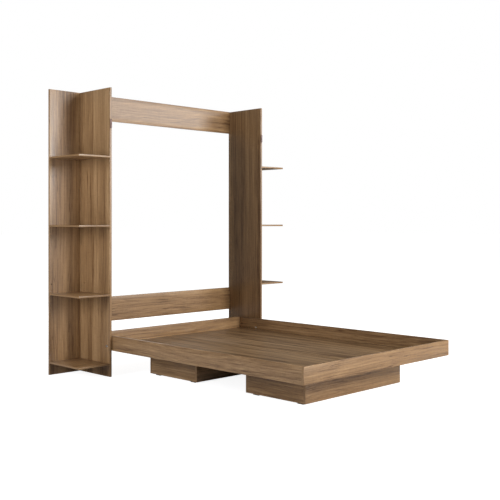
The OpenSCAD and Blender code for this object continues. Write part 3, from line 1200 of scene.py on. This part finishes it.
def dowel_tree(material: bpy.types.Material) -> bpy.types.NodeTree:
    """A fluted wooden dowel with chamfered ends, centred on its point.

    Args:
        material: The dowel's finish.

    Returns:
        The node tree, with its sizes as inputs.
    """
    group = NodeGroup("fluted_dowel", {"Radius": 0.004, "Length": 0.030})
    radius, length = group.size("Radius"), group.size("Length")
    half = group.math("MULTIPLY", length, 0.5)
    line = group.add(
        "GeometryNodeCurvePrimitiveLine",
        {
            "Start": group.vector(0.0, 0.0, group.math("MULTIPLY", half, -1.0)),
            "End": group.vector(0.0, 0.0, half),
        },
    ).outputs[0]
    line = group.add("GeometryNodeResampleCurve", {"Curve": line, "Count": 21}).outputs[0]
    along = group.add("GeometryNodeSplineParameter").outputs["Factor"]
    from_end = group.math("MINIMUM", along, group.math("SUBTRACT", 1.0, along))
    slope = group.math("ADD", group.math("MULTIPLY", from_end, 4.0), 0.8)
    taper = group.math("MINIMUM", slope, 1.0)
    line = group.add("GeometryNodeSetCurveRadius", {"Curve": line, "Radius": taper}).outputs[0]
    star = group.add(
        "GeometryNodeCurveStar",
        {
            "Points": 14,
            "Inner Radius": group.math("MULTIPLY", radius, 0.93),
            "Outer Radius": radius,
        },
    ).outputs[0]
    shape = group.add(
        "GeometryNodeCurveToMesh",
        {"Curve": line, "Profile Curve": star, "Scale": taper, "Fill Caps": True},
    ).outputs[0]
    return group.close(shape, material)


def glide_tree(material: bpy.types.Material) -> bpy.types.NodeTree:
    """A nail-on glide: a pad with round corners and two sunk nail heads.

    Args:
        material: The pad's finish.

    Returns:
        The node tree, with its sizes as inputs.
    """
    group = NodeGroup("glide_pad", {"Width": 0.015, "Length": 0.050, "Height": 0.004})
    width, length, height = (group.size(n) for n in ("Width", "Length", "Height"))
    outline = group.add(
        "GeometryNodeCurvePrimitiveQuadrilateral", {"Width": width, "Height": length}
    ).outputs[0]
    corner = group.math("MULTIPLY", width, 0.3)
    outline = group.add(
        "GeometryNodeFilletCurve", {"Curve": outline, "Radius": corner, "Count": 6}, mode="POLY"
    ).outputs[0]
    plate = group.add("GeometryNodeFillCurve", {"Curve": outline}, mode="NGONS").outputs[0]
    rim = group.add(
        "GeometryNodeExtrudeMesh",
        {"Mesh": plate, "Offset Scale": group.math("MULTIPLY", height, 0.75)},
    )
    side, top = rim.outputs["Mesh"], rim.outputs["Top"]
    inset = group.add(
        "GeometryNodeExtrudeMesh",
        {"Mesh": side, "Selection": top, "Offset Scale": group.math("MULTIPLY", height, 0.25)},
    )
    shrink = group.add(
        "GeometryNodeScaleElements",
        {"Geometry": inset.outputs["Mesh"], "Selection": inset.outputs["Top"], "Scale": 0.93},
    ).outputs[0]
    base = group.add("GeometryNodeFlipFaces", {"Mesh": plate}).outputs[0]
    pad = group.add(
        "GeometryNodeMergeByDistance", {"Geometry": group.join(shrink, base), "Distance": MERGE}
    ).outputs[0]
    nail_r = group.math("MULTIPLY", width, 0.17)
    holes = [
        group.move(
            group.rod(nail_r, height, 20),
            offset=group.vector(
                0.0, group.math("MULTIPLY", length, end), group.math("MULTIPLY", height, 0.7)
            ),
        )
        for end in (-0.28, 0.28)
    ]
    return group.close(group.cut(pad, *holes), material)


@dataclass
class RepeatedSet:
    """Small pieces that repeat, made by one node tree on a set of points.

    Attributes:
        name: The piece's name.
        body: The body it moves with.
        slot: The record's material slot.
        nodes: The CAD nodes it stands for.
        tree: The node tree.
        points: Where each copy sits.
        aims: Which way each copy points.
        sizes: The tree's named sizes.
    """

    name: str
    body: Body
    slot: Slot
    nodes: list[str]
    tree: bpy.types.NodeTree
    points: list[Vector] = field(default_factory=list)
    aims: list[Vector] = field(default_factory=list)
    sizes: dict[str, float] = field(default_factory=dict)

    def build(self, smooth_angle: float = 35.0) -> bpy.types.Object:
        """Runs the tree and keeps its result as a plain mesh.

        Args:
            smooth_angle: Edges flatter than this are shaded smooth, in degrees.

        Returns:
            The finished piece.
        """
        data = bpy.data.meshes.new(self.name)
        data.from_pydata([tuple(p) for p in self.points], [], [])
        attribute = data.attributes.new(AIM, "FLOAT_VECTOR", "POINT")
        attribute.data.foreach_set("vector", [c for aim in self.aims for c in aim])
        obj = add_object(self.name, data)
        modifier = obj.modifiers.new("repeat", "NODES")
        modifier.node_group = self.tree
        for item in self.tree.interface.items_tree:
            if item.item_type == "SOCKET" and item.name in self.sizes:
                modifier[item.identifier] = self.sizes[item.name]
        bake_modifiers(obj)
        if AIM in obj.data.attributes:
            obj.data.attributes.remove(obj.data.attributes[AIM])
        obj.data.shade_smooth()
        obj.data.set_sharp_from_angle(angle=math.radians(smooth_angle))
        return settle(obj, self.body, self.nodes, "repeated set")


def screws_of(
    frame: dict, name: str, node: str, body: Body, slot: Slot, tree: bpy.types.NodeTree
) -> RepeatedSet:
    """Reads where a CAD node's screws are, and their sizes.

    Args:
        frame: The loaded frame.
        name: The new piece's name.
        node: The CAD node of the screws.
        body: The body they move with.
        slot: Their material slot.
        tree: The screw's node tree.

    Returns:
        The set, ready to build.
    """
    made = RepeatedSet(name, body, slot, [node], tree)
    for low, high, points in islands(frame["nodes"][node]):
        size = high - low
        axis = longest(size)
        across = (axis + 1) % 3
        middle = (low + high) / 2
        reach = {}
        for end, plane in ((-1, low[axis]), (1, high[axis])):
            near = [p for p in points if abs(p[axis] - plane) < MERGE]
            reach[end] = max(abs(p[across] - middle[across]) for p in near)
        head = max(reach, key=lambda end: reach[end])
        face = high[axis] if head > 0 else low[axis]
        _, head_h, *_ = sorted({round(abs(p[axis] - face), 6) for p in points})
        aim = Vector([head if i == axis else 0.0 for i in range(3)])
        seat = Vector(middle)
        seat[axis] = face - head * head_h
        made.points.append(seat)
        made.aims.append(aim)
        made.sizes = {
            "Head Radius": reach[head],
            "Head Height": head_h,
            "Shank Radius": reach[-head],
            "Length": size[axis] - head_h,
        }
    return made


def dowels_of(
    frame: dict, name: str, node: str, body: Body, tree: bpy.types.NodeTree
) -> RepeatedSet:
    """Reads where a CAD node's dowels are, and their size.

    Args:
        frame: The loaded frame.
        name: The new piece's name.
        node: The CAD node of the dowels.
        body: The body they move with.
        tree: The dowel's node tree.

    Returns:
        The set, ready to build.
    """
    made = RepeatedSet(name, body, Slot.BEECH, [node], tree)
    for low, high, _ in islands(frame["nodes"][node]):
        size = high - low
        axis = longest(size)
        made.points.append((low + high) / 2)
        made.aims.append(Axis(axis).vector)
        made.sizes = {"Radius": size[(axis + 1) % 3] / 2, "Length": size[axis]}
    return made


def glides_of(frame: dict, tree: bpy.types.NodeTree) -> RepeatedSet:
    """Reads where the plinth glides are, and their size.

    Args:
        frame: The loaded frame.
        tree: The glide's node tree.

    Returns:
        The set, ready to build.
    """
    made = RepeatedSet("plinth_glide_pads", Body.BED, Slot.BLACK_PLASTIC, ["plinth_glides"], tree)
    for low, high, _ in islands(frame["nodes"]["plinth_glides"]):
        size = high - low
        made.points.append(Vector(((low.x + high.x) / 2, (low.y + high.y) / 2, high.z)))
        made.aims.append(Vector((0.0, 0.0, -1.0)))
        made.sizes = {"Width": size.x, "Length": size.y, "Height": size.z}
    return made


# ------------------------------------------------------------------ sub-assemblies


@dataclass
class Towers:
    """The two shelf towers and the wall rails that join them.

    Attributes:
        shelf_count: Shelves in a tower.
        edge_round: How far the boards' edges are rounded.
        tower_seeds: First seed of each tower's boards.
        shelf_seed: What the seeds of a tower's shelves add to it.
        rail_seed: First seed of the wall rails.
    """

    shelf_count: int = 4
    edge_round: float = 0.0009
    tower_seeds: tuple[tuple[str, int], ...] = (("left", 100), ("right", 200))
    shelf_seed: int = 10
    rail_seed: int = 50

    def build(self, frame: dict, finishes: Finishes) -> None:
        """Makes every board of the towers.

        Args:
            frame: The loaded frame.
            finishes: The materials.
        """
        for side, seed in self.tower_seeds:
            for number, kind in enumerate(("side_panel", "back_panel")):
                self._board(f"{side}_{kind}", Axis.Z, seed + number).build(frame, finishes)
            for number in range(1, self.shelf_count + 1):
                shelf_seed = seed + self.shelf_seed + number
                shelf = self._board(f"{side}_shelf_{number}", Axis.X, shelf_seed)
                shelf.build(frame, finishes)
        for number, rail in enumerate(("upper_wall_rail", "lower_wall_rail")):
            self._board(rail, Axis.X, self.rail_seed + number).build(frame, finishes)

    def _board(self, node: str, grain: Axis, seed: int) -> Board:
        """One board of the towers."""
        return Board(node, Body.TOWERS, grain, seed, self.edge_round)


@dataclass
class BedTray:
    """The folding tray, its platform and its two plinths.

    Attributes:
        plinths: Names of the plinths.
        edge_round: How far the boards' edges are rounded.
        along_seed: First seed of the boards with their grain along the bed.
        across_seed: First seed of the boards with their grain across it.
    """

    plinths: tuple[str, ...] = ("head", "foot")
    edge_round: float = 0.0009
    along_seed: int = 300
    across_seed: int = 340

    def build(self, frame: dict, finishes: Finishes) -> None:
        """Makes every board of the bed.

        Args:
            frame: The loaded frame.
            finishes: The materials.
        """
        along = ["left_bed_rail", "right_bed_rail", "left_platform_board", "right_platform_board"]
        across = ["head_rail", "foot_rail"]
        for plinth in self.plinths:
            along += [f"{plinth}_plinth_{part}" for part in ("left", "right", "rib")]
            across += [f"{plinth}_plinth_{part}" for part in ("rear", "front")]
        for grain, first_seed, nodes in (
            (Axis.Y, self.along_seed, along),
            (Axis.X, self.across_seed, across),
        ):
            for number, node in enumerate(nodes):
                board = Board(
                    node,
                    Body.BED,
                    grain,
                    first_seed + number,
                    self.edge_round,
                    platform="platform" in node,
                )
                board.build(frame, finishes)


@dataclass
class Fitting:
    """A small metal or plastic part, copied from its CAD node with its edges rounded.

    Attributes:
        node: The CAD node it stands for.
        body: The body it moves with.
        slot: The record's material slot.
        round_width: How far the edges are rounded.
        segments: Facets of each rounded edge.
    """

    node: str
    body: Body
    slot: Slot
    round_width: float = 0.0003
    segments: int = 2

    def build(self, frame: dict, finishes: Finishes) -> bpy.types.Object:
        """Makes the fitting.

        Args:
            frame: The loaded frame.
            finishes: The materials.

        Returns:
            The finished piece.
        """
        mesh = welded(frame["nodes"][self.node])
        obj = add_object(f"{self.node}_finished", finish_mesh(mesh, self.node))
        obj.data.materials.append(finishes.of(self.slot))
        soften(obj, self.round_width, self.segments)
        return settle(obj, self.body, [self.node], "fitting")


@dataclass
class Hardware:
    """Screws, dowels, glides, cams, brackets, pivots and latches.

    Attributes:
        fittings: The parts that are copied from the CAD, each with its rounding.
        dowel_smooth_deg: Flutes flatter than this are shaded smooth, in degrees.
    """

    fittings: list[Fitting] = field(init=False)
    dowel_smooth_deg: float = 20.0

    def __post_init__(self) -> None:
        """Lists the fittings."""
        towers, bed = Body.TOWERS, Body.BED
        self.fittings = [
            Fitting("left_pivot_bolt", towers, Slot.BRIGHT, 0.0005, 3),
            Fitting("right_pivot_bolt", towers, Slot.BRIGHT, 0.0005, 3),
            Fitting("pivot_nuts", towers, Slot.BRIGHT, 0.0004, 3),
            Fitting("pivot_washers", towers, Slot.ZINC),
            Fitting("left_pivot_bush", bed, Slot.BLACK_PLASTIC),
            Fitting("right_pivot_bush", bed, Slot.BLACK_PLASTIC),
            Fitting("left_turn_button", Body.LEFT_BUTTON, Slot.BRONZED, 0.0006, 3),
            Fitting("right_turn_button", Body.RIGHT_BUTTON, Slot.BRONZED, 0.0006, 3),
            Fitting("latch_screws", towers, Slot.BRONZED, 0.00025),
            Fitting("latch_washers", towers, Slot.ZINC, 0.0002),
            Fitting("strike_plates", bed, Slot.BRONZED, 0.0004),
            Fitting("plinth_brackets", bed, Slot.ZINC, 0.0004),
            Fitting("shelf_cams", towers, Slot.ZINC, 0.0002, 1),
            Fitting("wall_rail_cams", towers, Slot.ZINC, 0.0002, 1),
            Fitting("bed_rail_cams", bed, Slot.BROWN_PLASTIC, 0.0002, 1),
            Fitting("shelf_cam_bolts", towers, Slot.ZINC, 0.0002, 1),
            Fitting("wall_rail_cam_bolts", towers, Slot.ZINC, 0.0002, 1),
            Fitting("bed_rail_cam_bolts", bed, Slot.ZINC, 0.0002, 1),
        ]

    def build(self, frame: dict, finishes: Finishes) -> None:
        """Makes every fitting and every repeated set.

        Args:
            frame: The loaded frame.
            finishes: The materials.
        """
        for fitting in self.fittings:
            fitting.build(frame, finishes)
        zinc = screw_tree(finishes.of(Slot.ZINC))
        dark = screw_tree(finishes.of(Slot.BRONZED))
        towers, bed = Body.TOWERS, Body.BED
        for made in (
            screws_of(frame, "tower_cross_screws", "tower_screws", towers, Slot.ZINC, zinc),
            screws_of(frame, "bracket_cross_screws", "bracket_screws", bed, Slot.ZINC, zinc),
            screws_of(frame, "strike_cross_screws", "strike_screws", bed, Slot.BRONZED, dark),
        ):
            made.build()
        beech = dowel_tree(finishes.of(Slot.BEECH))
        for node, body in (
            ("shelf_dowels", towers),
            ("wall_rail_dowels", towers),
            ("bed_rail_dowels", bed),
            ("platform_dowels", bed),
            ("plinth_dowels", bed),
        ):
            dowels = dowels_of(frame, f"fluted_{node}", node, body, beech)
            dowels.build(self.dowel_smooth_deg)
        glides_of(frame, glide_tree(finishes.of(Slot.BLACK_PLASTIC))).build()


# ------------------------------------------------------------------ studio


@dataclass
class Softbox:
    """A large soft area light.

    Attributes:
        name: Its name.
        place: Where it hangs.
        target: What it points at.
        size: Width and height.
        power: Watts.
        colour: Linear colour.
        sheen: Whether it shows in the sheen of surfaces.
    """

    name: str
    place: Vector
    target: Vector
    size: tuple[float, float]
    power: float
    colour: Colour = (1.0, 1.0, 1.0)
    sheen: bool = True

    def build(self) -> bpy.types.Object:
        """Hangs the light.

        Returns:
            The light's object.
        """
        data = bpy.data.lights.new(self.name, "AREA")
        data.shape = "RECTANGLE"
        data.size, data.size_y = self.size
        data.energy = self.power
        data.color = self.colour
        obj = bpy.data.objects.new(self.name, data)
        bpy.context.scene.collection.objects.link(obj)
        obj.location = self.place
        obj.rotation_euler = (self.target - self.place).to_track_quat("-Z", "Y").to_euler()
        obj.visible_camera = False
        obj.visible_glossy = self.sheen
        return obj


@dataclass
class Studio:
    """A pale floor, soft light and the camera.

    Attributes:
        floor_half: Half the floor's width.
        glow_near: Distance where the floor starts to brighten, in metres.
        glow_far: Distance where it is as bright as the backdrop, in metres.
        glow_low: Brightness of the floor near the object.
        air: Strength of the even light.
        air_sheen: What the even light adds in the sheen of surfaces.
        wall_gap: The camera's place from the middle of the wall plane.
        heading_deg: How far the camera is turned from the wall's direction, in degrees.
        lens_mm: Focal length.
        rise: Vertical shift of the lens.
    """

    floor_half: float = 60.0
    glow_near: float = 1.5
    glow_far: float = 5.0
    glow_low: float = 0.88
    air: float = 0.04
    air_sheen: float = 0.08
    wall_gap: Vector = field(default_factory=lambda: Vector((-4.064, -4.999, 1.039)))
    heading_deg: float = 45.2
    lens_mm: float = 60.34
    rise: float = -0.0554

    def build(self, low: Vector, high: Vector) -> None:
        """Sets the stage around the object.

        Args:
            low: Lowest corner of the object's box.
            high: Highest corner of the object's box.
        """
        self._floor(low.z)
        self._world()
        self._lights(low, high)
        self._camera(high.y)
        bpy.context.scene.view_settings.view_transform = "Standard"

    def _floor(self, z: float) -> None:
        """Lays the floor.

        Args:
            z: The floor's height.
        """
        half = self.floor_half
        mesh = bpy.data.meshes.new("studio_floor")
        square = [(-half, -half, z), (half, -half, z), (half, half, z), (-half, half, z)]
        mesh.from_pydata(square, [], [(0, 1, 2, 3)])
        floor = add_object("studio_floor", mesh)
        shader = Shader("studio_floor_paint")
        clouds = shader.noise(shader.place(), scale=0.7, detail=2.0)
        shader.link(
            shader.mix(clouds, (0.64, 0.64, 0.64), (0.66, 0.66, 0.66)),
            shader.surface.inputs["Base Color"],
        )
        shader.surface.inputs["Roughness"].default_value = 0.9
        shader.surface.inputs["Specular IOR Level"].default_value = 0.0
        shader.surface.inputs["Emission Color"].default_value = (1.0, 1.0, 1.0, 1.0)
        reach = shader.tree.nodes.new("ShaderNodeVectorMath")
        reach.operation = "LENGTH"
        shader.link(shader.place(), reach.inputs[0])
        away = shader.spread(reach.outputs["Value"], self.glow_near, self.glow_far)
        glow = shader.to_range(away, self.glow_low, 1.0)
        path = shader.tree.nodes.new("ShaderNodeLightPath").outputs["Is Camera Ray"]
        shader.link(
            shader.math("MULTIPLY", glow, path), shader.surface.inputs["Emission Strength"]
        )
        mesh.materials.append(shader.material)
        floor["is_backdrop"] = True

    def _world(self) -> None:
        """Lights the room evenly, with a white backdrop."""
        world = bpy.data.worlds.new("studio_air")
        bpy.context.scene.world = world
        world.use_nodes = True
        tree = world.node_tree
        tree.nodes.clear()
        air = tree.nodes.new("ShaderNodeBackground")
        air.inputs["Color"].default_value = (1.0, 1.0, 1.0, 1.0)
        backdrop = tree.nodes.new("ShaderNodeBackground")
        backdrop.inputs["Color"].default_value = (1.0, 1.0, 1.0, 1.0)
        backdrop.inputs["Strength"].default_value = 1.0
        path = tree.nodes.new("ShaderNodeLightPath")
        sheen = tree.nodes.new("ShaderNodeMath")
        sheen.operation = "MULTIPLY_ADD"
        tree.links.new(path.outputs["Is Glossy Ray"], sheen.inputs[0])
        sheen.inputs[1].default_value = self.air_sheen
        sheen.inputs[2].default_value = self.air
        tree.links.new(sheen.outputs[0], air.inputs["Strength"])
        mix = tree.nodes.new("ShaderNodeMixShader")
        out = tree.nodes.new("ShaderNodeOutputWorld")
        tree.links.new(path.outputs["Is Camera Ray"], mix.inputs[0])
        tree.links.new(air.outputs[0], mix.inputs[1])
        tree.links.new(backdrop.outputs[0], mix.inputs[2])
        tree.links.new(mix.outputs[0], out.inputs["Surface"])

    def _lights(self, low: Vector, high: Vector) -> None:
        """Hangs the softboxes.

        Args:
            low: Lowest corner of the object's box.
            high: Highest corner of the object's box.
        """
        foot = Vector(((low.x + high.x) / 2, (low.y + high.y) / 2, low.z))
        for name, place, target, size, power in (
            ("front_right_near", (1.9, -7.0, 3.75), (-0.2, 0.8, 1.5), (2.4, 2.7), 340.0),
            ("front_right_far", (4.0, -3.8, 2.6), (-0.2, 0.8, 1.5), (1.8, 1.8), 112.0),
            ("front_low", (0.5, -4.5, 0.5), (0.0, 0.8, 0.6), (3.2, 0.8), 10.0),
            ("front", (0.0, -8.0, 2.2), (0.0, 0.8, 0.6), (4.6, 3.2), 192.0),
            ("front_left_high", (-1.6, -4.0, 4.4), (0.0, 0.8, 1.0), (2.6, 2.0), 20.0),
            ("back", (1.0, 4.8, 2.2), (0.0, 0.0, 1.0), (3.2, 2.4), 66.0),
        ):
            Softbox(name, foot + Vector(place), foot + Vector(target), size, power).build()
        left_place, left_target = foot + Vector((-4.6, 0.6, 1.7)), foot + Vector((0.0, 0.6, 1.0))
        cool = (0.97, 1.0, 1.1)
        Softbox("left", left_place, left_target, (1.4, 2.2), 106.0, cool, sheen=False).build()

    def _camera(self, wall: float) -> None:
        """Places the camera, level and to the left of the foot end.

        Args:
            wall: The wall plane's place along Y.
        """
        data = bpy.data.cameras.new("studio_camera")
        data.sensor_width = 36.0
        data.lens = self.lens_mm
        data.shift_y = self.rise
        camera = bpy.data.objects.new("studio_camera", data)
        bpy.context.scene.collection.objects.link(camera)
        camera.location = self.wall_gap + Vector((0.0, wall, 0.0))
        camera.rotation_euler = (math.pi / 2, 0.0, -math.radians(self.heading_deg))
        bpy.context.scene.camera = camera


def main() -> None:
    """Builds every sub-assembly around the frame."""
    logging.basicConfig(level=logging.INFO, format="%(name)s %(message)s")
    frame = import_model()
    cad_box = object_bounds()
    finishes = Finishes()
    for assembly in (Towers(), BedTray(), Hardware()):
        assembly.build(frame, finishes)
    Studio().build(*cad_box)


if __name__ == "__main__":
    main()
